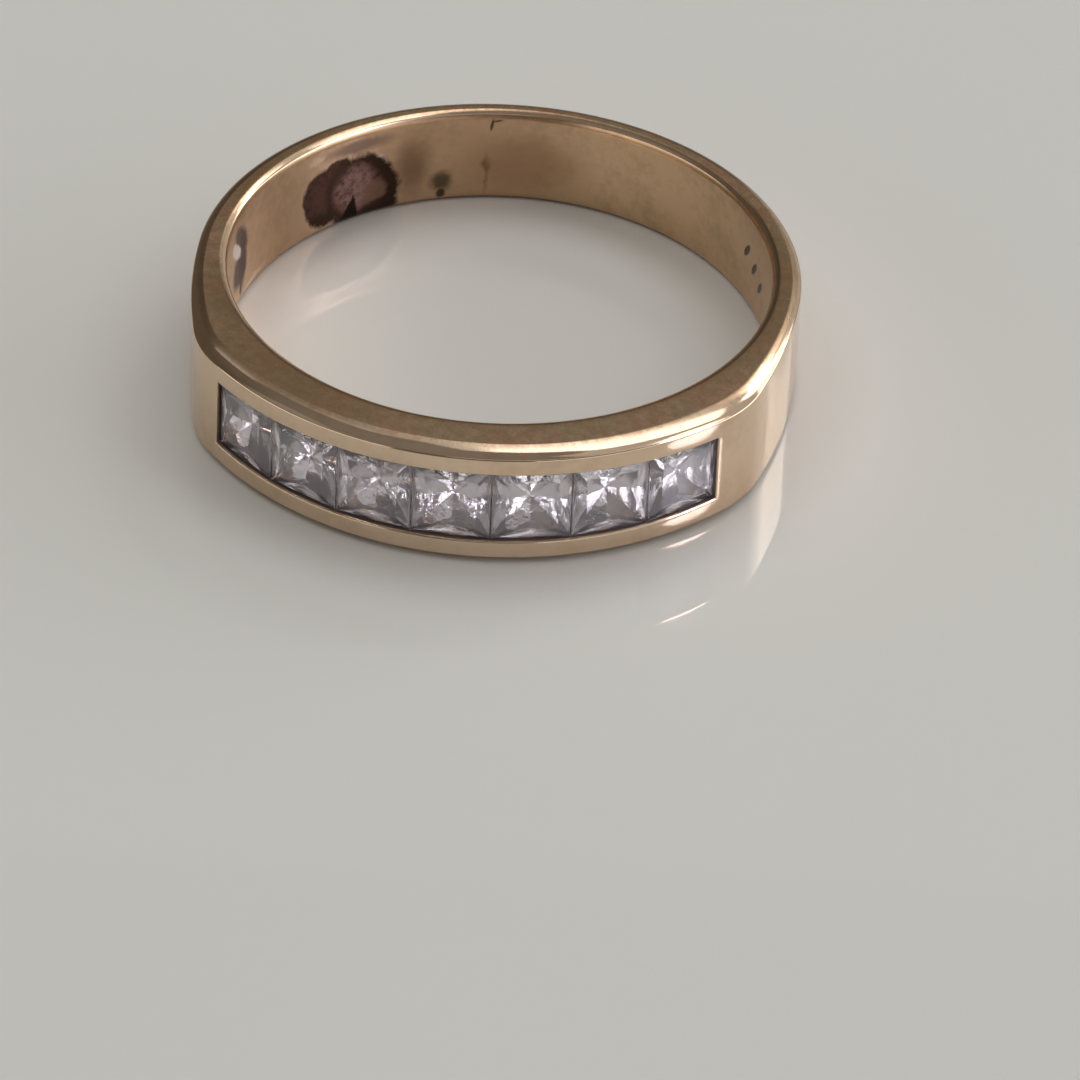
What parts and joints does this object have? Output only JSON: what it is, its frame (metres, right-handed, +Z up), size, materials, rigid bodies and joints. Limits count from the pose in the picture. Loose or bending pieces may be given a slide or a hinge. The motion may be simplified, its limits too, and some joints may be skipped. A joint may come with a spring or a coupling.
{
  "type": "gold ring",
  "caption": "Tapered gold band, lying on its side, with square-cut clear stones set edge to edge in a channel across its front.",
  "frame": {"origin": "where the axis of the finger hole meets the side that the ring rests on", "axes": "+Z up, out of the finger hole and square to the side that the ring rests on; the stones look along -Y; +X to the right as the stones are seen"},
  "size_m": [0.0192, 0.0198, 0.0042],
  "materials": {
    "gold": "pale 9 carat gold, polished and then worn, with fine scratches and a dark stain inside",
    "clear_stone": "clear cut stone with high sparkle"
  },
  "bodies": {
    "root": {"band": "gold", "stone_1": "clear_stone", "stone_2": "clear_stone", "stone_3": "clear_stone", "stone_4": "clear_stone", "stone_5": "clear_stone", "stone_6": "clear_stone", "stone_7": "clear_stone"}
  },
  "joints": []
}
